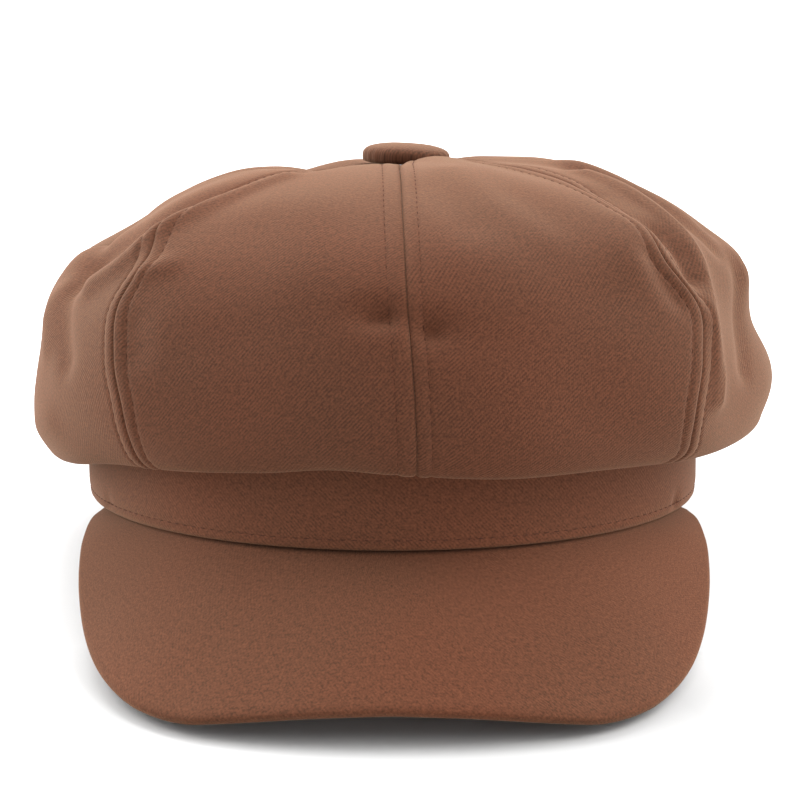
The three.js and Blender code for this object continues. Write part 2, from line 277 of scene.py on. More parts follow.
def fold_relief(azimuth, s, line, width, height):
    """A ridge or valley that follows a line over the crown and dies away round it."""
    centre = line[0][0]
    radius = profile(CROWN, np.radians(centre) + 0 * s, s)[..., 0]
    x = np.radians(wrapped_degrees(azimuth, centre)) * radius
    y = s * CROWN_LENGTH
    nearest = np.full_like(x, 1e9)
    for (az_a, s_a), (az_b, s_b) in zip(line[:-1], line[1:]):
        start = np.stack([np.radians(az_a - centre) * radius, s_a * CROWN_LENGTH + 0 * y])
        along = np.stack([np.radians(az_b - az_a) * radius, (s_b - s_a) * CROWN_LENGTH + 0 * y])
        place = ((x - start[0]) * along[0] + (y - start[1]) * along[1]) / (along ** 2).sum(0)
        place = np.clip(place, 0, 1)
        nearest = np.minimum(nearest, np.hypot(x - start[0] - place * along[0],
                                               y - start[1] - place * along[1]))
    return height * bell(nearest, width)


def crown_relief(azimuth, s, off_left, off_right, half_width, panel):
    """How far the cloth stands out of the plain profile. off_left and off_right are the
    distances from the panel's two seams, in millimetres along the cloth."""
    fade = smoothstep(s, 0.22, 0.42) - smoothstep(s, 0.88, 1)
    relief = -1.3 * bell(s - 1, 0.06)
    for seam, off in ((panel, off_left), (panel + 1, off_right)):
        towards = np.clip(1 - off / half_width, 0, 1)
        relief -= seam_sink(seam, s) * fade * towards ** 2.4
        relief += steps(CORNERS[seam % len(CORNERS)], s) * fade * towards ** 1.6
    near = np.minimum(off_left, off_right)
    sewn = smoothstep(s, 0.02, 0.08)
    row = np.where(off_left < off_right, ROWS[panel][1], ROWS[(panel + 1) % len(ROWS)][0])
    relief += sewn * (0.20 * bell(near - row / 2, 0.35 * row) - 0.45 * bell(near, 0.5)
                      - 0.24 * bell(near - row, 0.7))
    for line, wide, height in FOLDS:
        relief += fold_relief(azimuth, s, line, wide, height)
    for centre, place, wide, tall, height in DENTS:
        relief += height * bell(wrapped_degrees(azimuth, centre), wide) * bell(s - place, tall)
    ripple = (np.sin(5 * azimuth + 17 * s + 0.6) * np.sin(9 * azimuth - 8 * s + 1.9)
              + 0.5 * np.sin(13 * azimuth + 23 * s + 4.1))
    return relief + 0.45 * ripple * smoothstep(s, 0.15, 0.35) * (1 - smoothstep(s, 0.85, 0.97))


def crown_point(panel, off_left, s, lift=0.0):
    """A point of a crown panel at off_left millimetres from its left seam."""
    left, right = seam_azimuth(panel, s), seam_azimuth(panel + 1, s)
    middle = profile(CROWN, (left + right) / 2, s)[..., 0]
    half_width = middle * (right - left) / 2
    azimuth = left + off_left / middle
    relief = crown_relief(azimuth, s, off_left, 2 * half_width - off_left, half_width, panel)
    flat = (profile(CROWN, azimuth, s)
            + profile_normal(CROWN, azimuth, s) * (relief + lift)[..., None])
    for centre, place, wide, tall, up in LIFTS:
        raised = up * bell(wrapped_degrees(azimuth, centre), wide) * bell(s - place, tall)
        flat[..., 1] += raised * smoothstep(s, 0.0, 0.12)
    return round_axis(flat, azimuth, s)


def panel_width(panel, s):
    left, right = seam_azimuth(panel, s), seam_azimuth(panel + 1, s)
    return profile(CROWN, (left + right) / 2, s)[..., 0] * (right - left)


# ------------------------------------------------------------------ meshes
def grid_mesh(name, points, uv=None, closed_u=False, flip=False):
    """A sheet from a grid of points in the cap's frame, rows by columns."""
    rows, columns = points.shape[:2]
    index = np.arange(rows * columns).reshape(rows, columns)
    if closed_u:
        index = np.hstack([index, index[:, :1]])
    a, b = index[:-1, :-1].ravel(), index[:-1, 1:].ravel()
    c, d = index[1:, 1:].ravel(), index[1:, :-1].ravel()
    faces = np.stack([a, d, c, b] if flip else [a, b, c, d], -1)
    mesh = bpy.data.meshes.new(name)
    mesh.from_pydata(world(points.reshape(-1, 3)).tolist(), [], faces.tolist())
    if uv is not None:
        layer = mesh.uv_layers.new(name="cloth")
        if closed_u:
            span = np.concatenate([uv, uv[:, :1] + [[[uv[0, -1, 0] + uv[0, 1, 0], 0]]]], 1)
            flat_uv = span.reshape(-1, 2)
            wide = np.arange(span.shape[0] * span.shape[1]).reshape(span.shape[:2])
            a, b = wide[:-1, :-1].ravel(), wide[:-1, 1:].ravel()
            c, d = wide[1:, 1:].ravel(), wide[1:, :-1].ravel()
            corners = np.stack([a, d, c, b] if flip else [a, b, c, d], -1)
        else:
            flat_uv, corners = uv.reshape(-1, 2), faces
        layer.data.foreach_set("uv", flat_uv[corners.ravel()].ravel().astype(np.float32))
    mesh.polygons.foreach_set("use_smooth", np.ones(len(faces), bool))
    mesh.update()
    piece = bpy.data.objects.new(name, mesh)
    bpy.context.scene.collection.objects.link(piece)
    return piece


def thicken(piece, millimetres):
    """Gives a sheet its thickness, on the side away from its normals."""
    solid = piece.modifiers.new("thickness", "SOLIDIFY")
    solid.thickness = millimetres / 1000
    solid.offset = -1.0
    solid.use_even_offset = False
    return piece


def paint(piece, material):
    piece.data.materials.clear()
    piece.data.materials.append(material)
    return piece


# ------------------------------------------------------------------ materials
class Nodes:
    """A short way to build a node tree."""

    def __init__(self, name):
        self.material = bpy.data.materials.new(name)
        self.material.use_nodes = True
        self.tree = self.material.node_tree
        self.shader = self.tree.nodes["Principled BSDF"]

    def put(self, target, value):
        if isinstance(value, bpy.types.NodeSocket):
            self.tree.links.new(value, target)
        elif value is not None:
            target.default_value = value

    def math(self, operation, first, second=None, third=None):
        node = self.tree.nodes.new("ShaderNodeMath")
        node.operation = operation
        for socket, value in zip(node.inputs, (first, second, third)):
            self.put(socket, value)
        return node.outputs[0]

    def noise(self, vector, scale, detail=2.0, roughness=0.5):
        node = self.tree.nodes.new("ShaderNodeTexNoise")
        self.put(node.inputs["Vector"], vector)
        node.inputs["Scale"].default_value = scale
        node.inputs["Detail"].default_value = detail
        node.inputs["Roughness"].default_value = roughness
        return node.outputs["Fac"]

    def ramp(self, value, stops):
        node = self.tree.nodes.new("ShaderNodeValToRGB")
        self.put(node.inputs[0], value)
        band = node.color_ramp
        while len(band.elements) < len(stops):
            band.elements.new(0.5)
        for element, (place, colour) in zip(band.elements, stops):
            element.position = place
            element.color = (*colour, 1)
        return node.outputs[0]

    def mix(self, factor, first, second, mode="MIX"):
        node = self.tree.nodes.new("ShaderNodeMix")
        node.data_type = "RGBA"
        node.blend_type = mode
        self.put(node.inputs[0], factor)
        self.put(node.inputs[6], first)
        self.put(node.inputs[7], second)
        return node.outputs[2]

    def bump(self, height, strength, distance):
        node = self.tree.nodes.new("ShaderNodeBump")
        self.put(node.inputs["Height"], height)
        node.inputs["Strength"].default_value = strength
        node.inputs["Distance"].default_value = distance
        return node.outputs[0]

    def place(self):
        """(u, v) across and along the grain of the cloth, in millimetres."""
        uv = self.tree.nodes.new("ShaderNodeUVMap")
        uv.uv_map = "cloth"
        split = self.tree.nodes.new("ShaderNodeSeparateXYZ")
        self.put(split.inputs[0], uv.outputs[0])
        return uv.outputs[0], split.outputs[0], split.outputs[1]

    def position(self):
        return self.tree.nodes.new("ShaderNodeTexCoord").outputs["Object"]


def shade(colour, factor):
    return tuple(min(1.0, c * factor) for c in colour)


def twill(name, colour, weave, angle, nap=0.5):
    """Brushed wool-blend twill: fine slanting ribs under a short nap, which is thicker
    higher up the crown. weave is how clearly the ribs show, from 0 to 1, and nap how felted
    the face is."""
    n = Nodes(name)
    uv, u, v = n.place()
    slant = math.radians(angle)
    turns = 2 * math.pi / TWILL_PITCH
    across = n.math("ADD", n.math("MULTIPLY", u, math.sin(slant) * turns),
                    n.math("MULTIPLY", v, -math.cos(slant) * turns))
    wobble = n.noise(uv, 0.25, 2.0)
    across = n.math("ADD", across, n.math("MULTIPLY", wobble, TWILL_WOBBLE))
    rib = n.math("MULTIPLY_ADD", n.math("SINE", across), 0.5, 0.5)
    along = n.math("ADD", n.math("MULTIPLY", u, 5.2), n.math("MULTIPLY", v, 6.6))
    yarn = n.math("MULTIPLY_ADD", n.math("SINE", n.math("ADD", along, across)), 0.5, 0.5)
    fuzz = n.noise(uv, 1.5, 2.5, 0.6)
    mottle = n.noise(uv, 0.65, 3.0, 0.6)
    cloud = n.noise(n.position(), 14.0, 2.0)
    patches = n.ramp(n.noise(uv, 0.20, 4.0, 0.7), [(0.36, (0.15,) * 3), (0.62, (1, 1, 1))])
    brushed = n.ramp(n.math("DIVIDE", v, CROWN_LENGTH),
                     [(0.38, (1, 1, 1)), (0.55, (0.15,) * 3)])
    clear = n.math("MULTIPLY", patches, brushed)
    rib = n.math("MULTIPLY", n.math("SUBTRACT", rib, 0.5), clear)
    yarn = n.math("MULTIPLY", yarn, clear)
    height = n.math("ADD", n.math("MULTIPLY", rib, 0.7 * weave),
                    n.math("ADD", n.math("MULTIPLY", yarn, 0.25 * weave),
                           n.math("MULTIPLY", fuzz, nap)))
    tone = n.math("ADD", n.math("MULTIPLY_ADD", rib, 0.8 * weave, -0.58),
                  n.math("ADD", n.math("MULTIPLY", fuzz, 1.45),
                         n.math("MULTIPLY", mottle, 0.75)))
    dark, light = shade(colour, 0.45), shade(colour, 1.55)
    body = n.ramp(tone, [(0.20, dark), (0.82, light)])
    warm = (colour[0] * 1.14, colour[1] * 0.94, colour[2] * 0.86)
    cool = (colour[0] * 0.88, colour[1] * 1.02, colour[2] * 1.10)
    hue = n.ramp(cloud, [(0.38, cool), (0.62, warm)])
    n.put(n.shader.inputs["Base Color"], n.mix(0.3, body, hue))
    n.shader.inputs["Roughness"].default_value = 0.95
    n.shader.inputs["Specular IOR Level"].default_value = 0.2
    n.shader.inputs["Sheen Weight"].default_value = TWILL_SHEEN
    n.shader.inputs["Sheen Roughness"].default_value = 0.5
    n.shader.inputs["Sheen Tint"].default_value = TWILL_SHEEN_TINT
    n.put(n.shader.inputs["Normal"], n.bump(height, 0.55, 0.00022))
    return n.material


def satin(name, colour):
    """Lining: a smooth warp face with a fine crossways yarn and soft streaks."""
    n = Nodes(name)
    uv, _, v = n.place()
    yarn = n.math("MULTIPLY_ADD", n.math("SINE", n.math("MULTIPLY", v, 14.0)), 0.5, 0.5)
    streak = n.noise(uv, 0.4, 3.0, 0.6)
    tone = n.math("MULTIPLY_ADD", yarn, 0.25, n.math("MULTIPLY", streak, 0.75))
    n.put(n.shader.inputs["Base Color"],
          n.ramp(tone, [(0.2, shade(colour, 0.75)), (0.8, shade(colour, 1.35))]))
    n.put(n.shader.inputs["Roughness"],
          n.math("MULTIPLY_ADD", streak, 0.15, 0.33))
    n.shader.inputs["Sheen Weight"].default_value = 0.15
    n.put(n.shader.inputs["Normal"], n.bump(tone, 0.25, 0.0001))
    return n.material


def ribbed_cotton(name, colour):
    """Sweatband: a fine upright rib."""
    n = Nodes(name)
    uv, u, _ = n.place()
    turns = n.math("MULTIPLY", u, 2 * math.pi / SWEATBAND_RIB)
    rib = n.math("MULTIPLY_ADD", n.math("SINE", turns), 0.5, 0.5)
    fuzz = n.noise(uv, 3.0, 3.0, 0.6)
    tone = n.math("MULTIPLY_ADD", rib, 0.5, n.math("MULTIPLY", fuzz, 0.5))
    n.put(n.shader.inputs["Base Color"],
          n.ramp(tone, [(0.2, shade(colour, 0.7)), (0.8, shade(colour, 1.35))]))
    n.shader.inputs["Roughness"].default_value = 0.9
    n.shader.inputs["Sheen Weight"].default_value = 0.2
    n.put(n.shader.inputs["Normal"], n.bump(tone, 0.5, 0.0002))
    return n.material


def thread(name, colour):
    """Sewing thread: fine marks where its plies twist."""
    n = Nodes(name)
    twist = n.noise(n.position(), 1600.0, 1.0)
    n.put(n.shader.inputs["Base Color"],
          n.ramp(twist, [(0.3, shade(colour, 0.6)), (0.7, shade(colour, 1.4))]))
    n.shader.inputs["Roughness"].default_value = 0.85
    n.shader.inputs["Specular IOR Level"].default_value = 0.1
    return n.material


def sheet_plastic(name, colour):
    """Visor board: a matt plastic sheet with a fine grain."""
    n = Nodes(name)
    grain = n.noise(n.position(), 900.0, 3.0)
    n.put(n.shader.inputs["Base Color"],
          n.ramp(grain, [(0.3, shade(colour, 0.93)), (0.7, colour)]))
    n.put(n.shader.inputs["Roughness"], n.math("MULTIPLY_ADD", grain, 0.2, 0.4))
    n.put(n.shader.inputs["Normal"], n.bump(grain, 0.2, 0.0001))
    return n.material


def plated_steel(name, colour):
    """Nickel-plated steel with fine scuffs."""
    n = Nodes(name)
    scuff = n.noise(n.position(), 700.0, 4.0, 0.7)
    n.put(n.shader.inputs["Base Color"],
          n.ramp(scuff, [(0.3, shade(colour, 0.8)), (0.7, colour)]))
    n.shader.inputs["Metallic"].default_value = 1.0
    n.put(n.shader.inputs["Roughness"], n.math("MULTIPLY_ADD", scuff, 0.25, 0.22))
    return n.material


def floor_with_painted_shadow(name):
    """A white card with a painted shadow: greyer in front of the visor, where the cap's contact
    shadow falls.
    """
    n = Nodes(name)
    painted_shadow_spread = n.tree.nodes.new("ShaderNodeMapping")
    painted_shadow_spread.inputs["Location"].default_value = (0.0, 1.7, 0.0)
    painted_shadow_spread.inputs["Scale"].default_value = (1 / 0.13, 1 / 0.07, 1.0)
    n.put(painted_shadow_spread.inputs["Vector"], n.position())
    away = n.tree.nodes.new("ShaderNodeVectorMath")
    away.operation = "LENGTH"
    n.put(away.inputs[0], painted_shadow_spread.outputs[0])
    # The ramp paints the contact shadow: darker near the visor's front, white further off.
    n.put(n.shader.inputs["Base Color"],
          n.ramp(away.outputs["Value"], [(0.6, (0.51, 0.51, 0.51)), (1.0, (0.76, 0.76, 0.76))]))
    n.shader.inputs["Roughness"].default_value = 0.9
    n.shader.inputs["Specular IOR Level"].default_value = 0.0
    return n.material


def bright_card(name):
    """A card that is white whatever falls on it."""
    n = Nodes(name)
    n.shader.inputs["Base Color"].default_value = (0, 0, 0, 1)
    n.shader.inputs["Specular IOR Level"].default_value = 0.0
    n.shader.inputs["Emission Color"].default_value = (1, 1, 1, 1)
    n.shader.inputs["Emission Strength"].default_value = 1.0
    return n.material


BROWN = (0.099, 0.0342, 0.0158)
TWILL_SHEEN = 0.18
TWILL_SHEEN_TINT = (1.0, 0.63, 0.38, 1.0)
MATERIALS = {
    # Crown, band and visor are one brown cloth; the factors 0.72, 0.86 and 0.90 are painted light
    # and shade, each part made darker or lighter to set its brightness under these lamps.
    "crown": twill("crown twill", shade(BROWN, 0.72), 0.6, TWILL_ANGLE, 0.9),
    "band": twill("band twill", shade(BROWN, 0.86), 0.42, -45.0, 0.6),
    "visor": twill("visor twill", shade(BROWN, 0.90), 0.18, 50.0, 0.9),
    "lining": satin("lining satin", (0.060, 0.032, 0.022)),
    "sweatband": ribbed_cotton("sweatband cotton", (0.045, 0.027, 0.020)),
    "thread": thread("sewing thread", (0.058, 0.0215, 0.0120)),
    "interfacing": ribbed_cotton("interfacing cotton", (0.68, 0.64, 0.56)),
    "metal": plated_steel("nickel plate", (0.60, 0.60, 0.62)),
    "board": sheet_plastic("visor board plastic", (0.78, 0.76, 0.70)),
}


# ------------------------------------------------------------------ crown
def seam_offsets(width):
    """Distances from the left seam of a panel, close together near both seams."""
    near = np.array([0.03, 0.22, 0.45, 0.75, 1.2, 2.0, 2.8, 3.3, 3.65, 3.95, 4.25, 4.6, 4.95,
                     5.3, 5.8, 6.8])
    scale = np.minimum(1, width / 2 / 9.0)[:, None]
    left = near[None] * scale
    inner = width[:, None] - 2 * left[:, -1:]
    t = np.linspace(0, 1, 24)[None, 1:-1]
    middle = left[:, -1:] + inner * t
    return np.hstack([left, middle, width[:, None] - left[:, ::-1]])


def arc_length(points):
    """Lengths from the first point, along each column of points."""
    gaps = np.linalg.norm(np.diff(points, axis=0), axis=-1)
    return np.concatenate([np.zeros((1,) + gaps.shape[1:]), np.cumsum(gaps, axis=0)])


def rows_for(shape_point, count):
    """count values of s that are evenly spaced along a panel's middle line."""
    s = np.linspace(0, 1, 400)
    length = arc_length(shape_point(s))
    return np.interp(np.linspace(0, length[-1], count), length, s), float(length[-1])


def crown_panel(panel):
    s, length = rows_for(lambda t: crown_point(panel, panel_width(panel, t) / 2, t), 230)
    width = panel_width(panel, s)
    offsets = seam_offsets(width)
    grid_s = np.repeat(s[:, None], offsets.shape[1], 1)
    points = crown_point(panel, offsets, grid_s)
    along = np.linspace(0, length, len(s))[:, None] + 0 * offsets
    uv = np.stack([offsets - width[:, None] / 2, along], -1)
    piece = grid_mesh(PANELS[panel] + "_crown_gore", points, uv)
    thicken(piece, CLOTH)
    return paint(piece, MATERIALS["crown"])


def stitch(start, end, normal):
    """One stitch: a short thread that rises out of the cloth and dives back in."""
    sides = 6
    rings = 5
    rise = 0.24
    sunk = 0.205
    along = end - start
    side = np.cross(normal, along / np.linalg.norm(along))
    points = []
    for k in range(rings):
        t = k / (rings - 1)
        centre = start + along * t + normal * (rise * math.sin(math.pi * t) - sunk)
        radius = THREAD / 2 * (0.55 + 0.45 * math.sin(math.pi * t))
        for j in range(sides):
            turn = 2 * math.pi * j / sides
            points.append(centre + radius * (side * math.cos(turn) + normal * math.sin(turn)))
    faces = []
    for k in range(rings - 1):
        for j in range(sides):
            a, b = k * sides + j, k * sides + (j + 1) % sides
            faces.append((a, b, b + sides, a + sides))
    points += [start - 0.2 * normal, end - 0.2 * normal]
    first, last = len(points) - 2, len(points) - 1
    for j in range(sides):
        faces.append((first, (j + 1) % sides, j, j))
        top = (rings - 1) * sides
        faces.append((last, top + j, top + (j + 1) % sides, top + (j + 1) % sides))
    return np.array(points), faces


def stitch_row(path, normals):
    """Stitches at an even pitch along a path of points with its normals."""
    distance = arc_length(path)
    parts = []
    for k in range(int(distance[-1] / STITCH_PITCH)):
        begin = k * STITCH_PITCH + STITCH_START
        at = [begin, begin + STITCH_LENGTH]
        ends = [np.array([np.interp(a, distance, path[:, c]) for c in range(3)]) for a in at]
        normal = np.array([np.interp(sum(at) / 2, distance, normals[:, c]) for c in range(3)])
        parts.append(stitch(ends[0], ends[1], normal / np.linalg.norm(normal)))
    return parts


def tube_mesh(name, parts, material):
    """Joins stitches; their caps are triangles, written as quads with one corner twice."""
    points, faces, start = [], [], 0
    for part_points, part_faces in parts:
        points.append(part_points)
        for face in part_faces:
            corners = tuple(dict.fromkeys(c + start for c in face))
            faces.append(corners)
        start += len(part_points)
    mesh = bpy.data.meshes.new(name)
    mesh.from_pydata(world(np.vstack(points)).tolist(), [], faces)
    mesh.polygons.foreach_set("use_smooth", np.ones(len(mesh.polygons), bool))
    mesh.update()
    piece = bpy.data.objects.new(name, mesh)
    bpy.context.scene.collection.objects.link(piece)
    return paint(piece, material)


def crown_stitching(panel):
    """The two rows inside one panel, beside its left and its right seam."""
    parts = []
    for from_left in (True, False):
        s_all = np.linspace(0.03, 0.93, 500)
        width = panel_width(panel, s_all)
        row = ROWS[panel][1] if from_left else ROWS[(panel + 1) % len(ROWS)][0]
        s = s_all[width > 2.6 * row]
        width = panel_width(panel, s)
        sign = 1 if from_left else -1
        off = np.full_like(s, row) if from_left else width - row
        path = crown_point(panel, off, s)
        beside = crown_point(panel, off + sign * 0.5, s)
        along = np.gradient(path, axis=0)
        normal = np.cross(beside - path, along) * sign
        normal /= np.linalg.norm(normal, axis=-1, keepdims=True)
        parts += stitch_row(path, normal)
    return tube_mesh(PANELS[panel] + "_top_stitching", parts, MATERIALS["thread"])


def crown():
    for panel, name in enumerate(PANELS):
        gore = crown_panel(panel)
        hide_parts(name + "_panel")
        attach(gore, "cap")
        rows = crown_stitching(panel)
        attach(rows, "cap")


# ------------------------------------------------------------------ lining
def lining_point(panel, u, s):
    left, right = seam_azimuth(panel, s), seam_azimuth(panel + 1, s)
    azimuth = left + (right - left) * (0.0005 + 0.999 * u)
    flat = profile(LINING, azimuth, s)
    middle = (1 - np.abs(2 * u - 1)) * flat[..., 0] * (right - left) / 2
    body = smoothstep(s, 0.05, 0.25) - smoothstep(s, 0.8, 1)
    relief = (-0.5 * bell(middle, 0.7) - 1.2 * body * (2 * u - 1) ** 2
              + 0.5 * body * np.sin(11 * azimuth + 14 * s + panel))
    flat = flat + profile_normal(LINING, azimuth, s) * relief[..., None]
    return round_axis(flat, azimuth, s)


def lining():
    for panel, name in enumerate(PANELS):
        s, length = rows_for(lambda t: lining_point(panel, np.full_like(t, 0.5), t), 70)
        near = np.array([0, 0.008, 0.018, 0.035, 0.06])
        u = np.concatenate([near, np.linspace(0.1, 0.9, 19), 1 - near[::-1]])
        grid_u, grid_s = np.meshgrid(u, s)
        points = lining_point(panel, grid_u, grid_s)
        along = np.linspace(0, length, len(s))[:, None] + 0 * grid_u
        wide = np.linalg.norm(points - points[:, len(u) // 2:len(u) // 2 + 1], axis=-1)
        uv = np.stack([wide * np.sign(grid_u - 0.5), along], -1)
        piece = grid_mesh(name + "_lining_gore", points, uv)
        thicken(piece, 0.4)
        paint(piece, MATERIALS["lining"])
        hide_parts(name + "_lining")
        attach(piece, "cap")


# ------------------------------------------------------------------ head band
def ring_points(section, count, curl=0.0):
    """Sweeps a section of (inset from the rim's outline, height) round the head, from the
    back. curl draws the lowest few millimetres in at the sides, for the outer cloth, which
    is also pinched where it is tacked to the two ends of the visor."""
    angle = math.pi / 2 + 2 * math.pi * np.arange(count) / count
    section = np.asarray(section, float)
    inset, height = section[:, 0][:, None], section[:, 1][:, None]
    wave = 0.22 * np.sin(3 * angle + 0.4) * np.sin(7 * angle + 2 + height / 9)
    inset = (inset + curl * np.cos(angle) ** 4 * np.clip(1 - height / 4, 0, 1) ** 2
             + wave * smoothstep(height, 3, 9))
    if curl:
        for tack, pinch in ((-27.0, 0.9), (207.0, 0.5)):
            away = (np.degrees(angle) - tack + 180) % 360 - 180
            inset = inset + pinch * bell(away, 1.6) * bell(height - 3.6, 2.4)
    return np.stack([(RIM_HALF_WIDTH - inset) * np.cos(angle) + 0 * height,
                     (RIM_HALF_LENGTH - inset) * np.sin(angle) + 0 * height,
                     height + 0 * inset + 0 * angle], -1)


def ring(name, section, material, curl=0.0):
    points = ring_points(section, 420, curl)
    round_rim = arc_length(points[0])
    up_section = arc_length(np.asarray(section, float))
    u, v = np.meshgrid(round_rim, up_section)
    piece = grid_mesh(name, points, np.stack([u, v], -1), closed_u=True)
    return paint(piece, material)


def closed_section(points):
    return list(points) + [points[0]]


def head_band():
    outer = [(1.45, 0.35), (1.0, 0.02), (0.5, 0.12), (0.12, 0.5), (-0.12, 1.1), (-0.12, 1.9),
             (0.05, 2.5), (0.16, 2.8), (0.05, 3.1), (-0.1, 3.7)]
    up = [(-0.2 + 0.25 * (h / BAND_HEIGHT) ** 2, h) for h in np.linspace(5, 24.5, 14)]
    top = [(0.25, 25.4), (0.8, 25.9), (1.4, 25.4), (1.55, 20), (1.55, 12), (1.55, 4), (1.5, 1.2)]
    band = ring("head_band_twill", closed_section(outer + up + top), MATERIALS["band"], 0.7)
    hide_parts("head_band")
    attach(band, "cap")
    angle = np.linspace(0, 2 * math.pi, 1200) - math.pi / 2
    inset = 0.1 + 0.06 * np.cos(angle) ** 4
    path = np.stack([(RIM_HALF_WIDTH - inset) * np.cos(angle),
                     (RIM_HALF_LENGTH - inset) * np.sin(angle), 2.8 + 0 * angle], -1)
    normal = np.stack([np.cos(angle), np.sin(angle), 0 * angle], -1)
    rows = tube_mesh("band_top_stitching", stitch_row(path, normal), MATERIALS["thread"])
    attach(rows, "cap")


def sweatband():
    inner = BAND_LAYERS
    section = [(1.9, 0.25), (2.4, -0.1), (3.2, -0.15), (4.0, 0.1), (inner, 0.8), (inner, 2.0),
               (inner + 0.1, 6), (inner + 0.15, 12), (inner + 0.1, 20), (inner, 27),
               (inner - 0.05, 29.4), (inner - 0.3, 29.9), (inner - 0.7, 29.9), (inner - 0.95, 29.4),
               (inner - 0.95, 20), (inner - 0.95, 8), (inner - 0.95, 1.5), (3.2, 0.9), (2.3, 0.9)]
    band = ring("sweatband_cotton", closed_section(section)[::-1], MATERIALS["sweatband"])
    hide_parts("sweatband")
    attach(band, "cap")
    angle = -np.linspace(0, 2 * math.pi, 1200) - math.pi / 2
    path = np.stack([(RIM_HALF_WIDTH - inner - 0.05) * np.cos(angle),
                     (RIM_HALF_LENGTH - inner - 0.05) * np.sin(angle), 3.0 + 0 * angle], -1)
    normal = -np.stack([np.cos(angle), np.sin(angle), 0 * angle], -1)
    rows = tube_mesh("sweatband_stitching", stitch_row(path, normal), MATERIALS["thread"])
    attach(rows, "cap")


# ------------------------------------------------------------------ visor
def visor_inner(t):
    azimuth = math.radians(VISOR_SPREAD) * t
    return np.stack([(RIM_HALF_WIDTH - VISOR_TUCK) * np.sin(azimuth),
                     -(RIM_HALF_LENGTH - VISOR_TUCK) * np.cos(azimuth),
                     -0.1 + 0 * azimuth], -1)


def visor_outer(t):
    point = spline(VISOR_EDGE, np.abs(t))
    point[..., 0] *= np.sign(t) * np.where(t > 0, VISOR_WIDER_RIGHT, 1.0)
    return point


def visor_face(t, v):
    """The visor's upper face without its dome, ruled from the rim to the edge."""
    v = np.asarray(v, float)[..., None]
    return visor_inner(t) * (1 - v) + visor_outer(t) * v


def visor_frame(t, v):
    """Point, normal, and the direction out of the edge, at places on the upper face."""
    step = 0.004
    point = visor_face(t, v)
    safe = np.maximum(v, 0.2)
    across = (visor_face(np.minimum(t + step, 1), safe)
              - visor_face(np.maximum(t - step, -1), safe))
    outwards = visor_outer(t) - visor_inner(t)
    normal = np.cross(outwards, across)
    normal /= np.linalg.norm(normal, axis=-1, keepdims=True)
    rim = visor_outer(np.minimum(t + step, 1)) - visor_outer(np.maximum(t - step, -1))
    out = np.cross(rim, normal)
    out /= np.linalg.norm(out, axis=-1, keepdims=True)
    return point, normal, out


def visor_strip(name, material, depth_line, count=260, reach_to=1.0, rise=0.0):
    """Sweeps a section over the visor. Each entry of depth_line is (v, reach, depth):
    the place from rim to edge, how far past the edge, and how far below the face. It stops
    at reach_to of the way to each tip, where the visor thins and the sheet rises by rise."""
    t = reach_to * np.sin(np.linspace(-math.pi / 2, math.pi / 2, count))
    tip = smoothstep(np.abs(t), 0.88, 1.0)
    rows = []
    for v, reach, depth in depth_line:
        place = np.full_like(t, v)
        point, normal, out = visor_frame(t, place)
        dome = 1.3 * np.sin(math.pi * min(v, 1.0)) * (1 - t ** 4)
        below = (depth - rise * tip) * (1 - 0.45 * tip)
        rows.append(point + normal * (dome - below)[:, None] + out * reach)
    points = np.array(rows)
    lengths = arc_length(points[:, count // 2])
    edge = arc_length(points[len(rows) // 2])
    u, v = np.meshgrid(edge - edge[-1] / 2, lengths)
    piece = grid_mesh(name, points, np.stack([u, v], -1))
    return paint(piece, material)


def bend_with_visor(piece):
    """Bakes the piece's placement into its mesh."""
    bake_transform(piece)


def weld(piece):
    """Joins the first and last rows of a strip that closes on itself, and closes its ends."""
    cloth = bmesh.new()
    cloth.from_mesh(piece.data)
    bmesh.ops.remove_doubles(cloth, verts=cloth.verts, dist=0.000002)
    ends = [edge for edge in cloth.edges if edge.is_boundary]
    bmesh.ops.holes_fill(cloth, edges=ends, sides=0)
    bmesh.ops.recalc_face_normals(cloth, faces=cloth.faces)
    cloth.to_mesh(piece.data)
    cloth.free()


def visor_cover():
    depth = VISOR_EDGE_HEIGHT
    face = [(v, 0, 0) for v in np.linspace(0, 0.955, 44)]
    roll = [(0.975, 0, 0.1), (0.99, 0, 0.3), (1.0, 0.05, 0.62), (1.0, 0.25, 1.15),
            (1.0, 0.3, 1.75), (1.0, 0.2, 2.4), (1.0, -0.1, 3.0), (1.0, -0.7, depth - 0.2),
            (0.97, -0.6, depth), (0.95, 0, depth - 0.05), (0.94, 0, depth - 0.4)]
    back = [(0.95, 0, 2.9), (0.965, 0, 1.6)] + [(v, 0, 1.1) for v in np.linspace(0.93, 0, 16)]
    line = face + roll + back
    cover = visor_strip("visor_upper_twill", MATERIALS["visor"], line + [line[0]])
    weld(cover)
    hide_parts("visor_upper_cover")
    bend_with_visor(cover)


def visor_board():
    top = [(v, 0, 1.2) for v in np.linspace(0.03, 0.945, 14)]
    edge = [(0.95, 0, 1.45), (0.95, 0, 2.0)]
    under = [(v, 0, 2.25) for v in np.linspace(0.945, 0.03, 14)]
    line = top + edge + under
    board = visor_strip("visor_board_sheet", MATERIALS["board"], line + [line[0]], 120, 0.86)
    weld(board)
    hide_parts("visor_board")
    bend_with_visor(board)


def visor_under():
    top = [(v, 0, 2.35) for v in np.linspace(0.0, 0.925, 20)]
    edge = [(0.934, 0, 2.6), (0.936, 0, 3.0)]
    under = [(v, 0, 3.3) for v in np.linspace(0.928, 0.0, 20)]
    line = top + edge + under
    cover = visor_strip("visor_under_twill", MATERIALS["visor"], line + [line[0]], rise=1.2)
    weld(cover)
    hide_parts("visor_under_cover")
    bend_with_visor(cover)


def visor():
    visor_cover()
    visor_board()
    visor_under()


